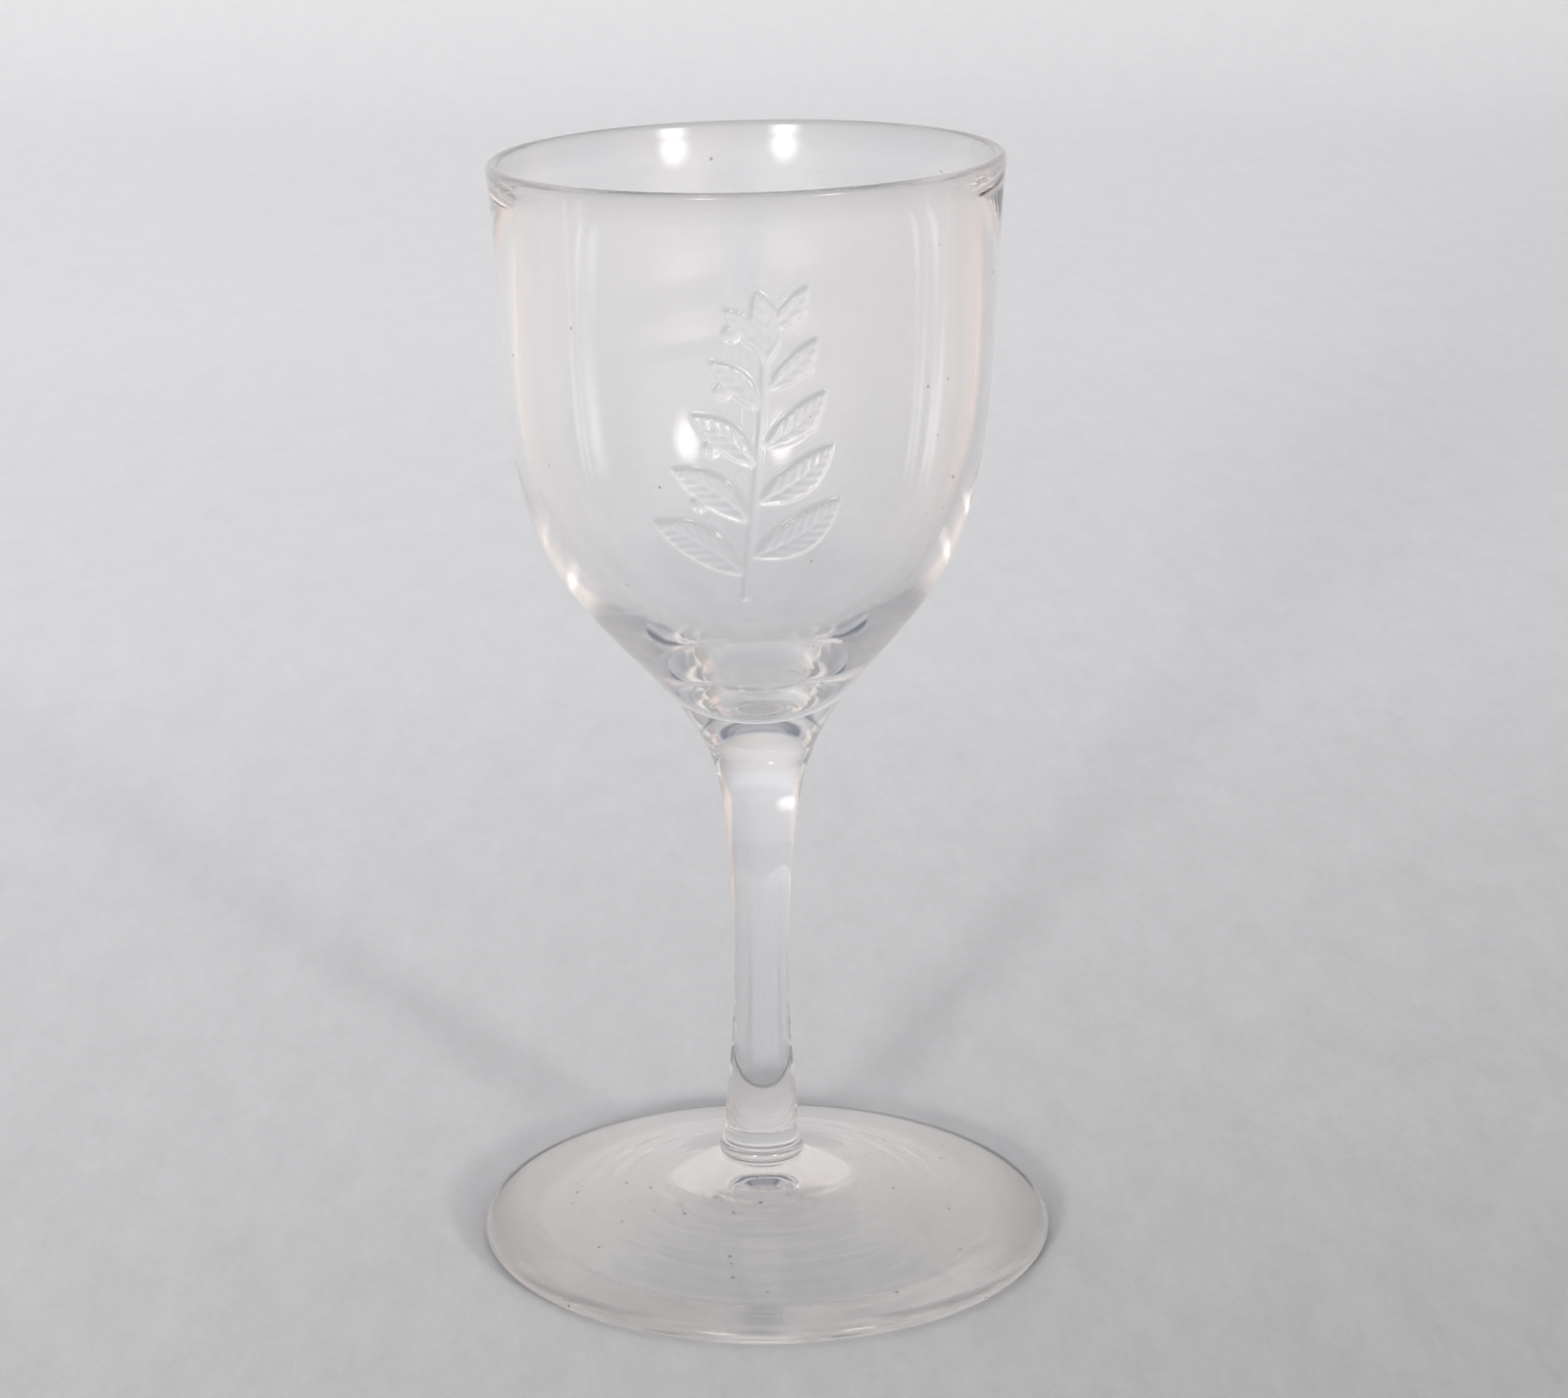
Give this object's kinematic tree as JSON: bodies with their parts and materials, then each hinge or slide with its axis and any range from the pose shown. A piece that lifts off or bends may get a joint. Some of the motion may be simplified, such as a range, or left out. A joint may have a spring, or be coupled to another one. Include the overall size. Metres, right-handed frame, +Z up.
{
  "type": "cordial glass",
  "caption": "Small stemmed drinking glass in clear glass: a rounded funnel bowl with a thick base on a waisted stem, a small collar and a low conical foot.",
  "frame": {"origin": "on the table, under the centre of the foot", "axes": "+Z up through the rim, +X to the right of the picture's viewer, -Y towards the viewer; the relief faces -Y"},
  "size_m": [0.0532, 0.0532, 0.102],
  "materials": {
    "bowl_glass": "clear fire-polished glass with a moulded relief on the front",
    "stem_glass": "clear drawn glass",
    "collar_glass": "clear drawn glass",
    "foot_glass": "clear hand-tooled glass with faint rings, dust and small scratches"
  },
  "bodies": {
    "root": {"bowl": "bowl_glass", "stem": "stem_glass", "foot_collar": "collar_glass", "foot": "foot_glass"}
  },
  "joints": []
}
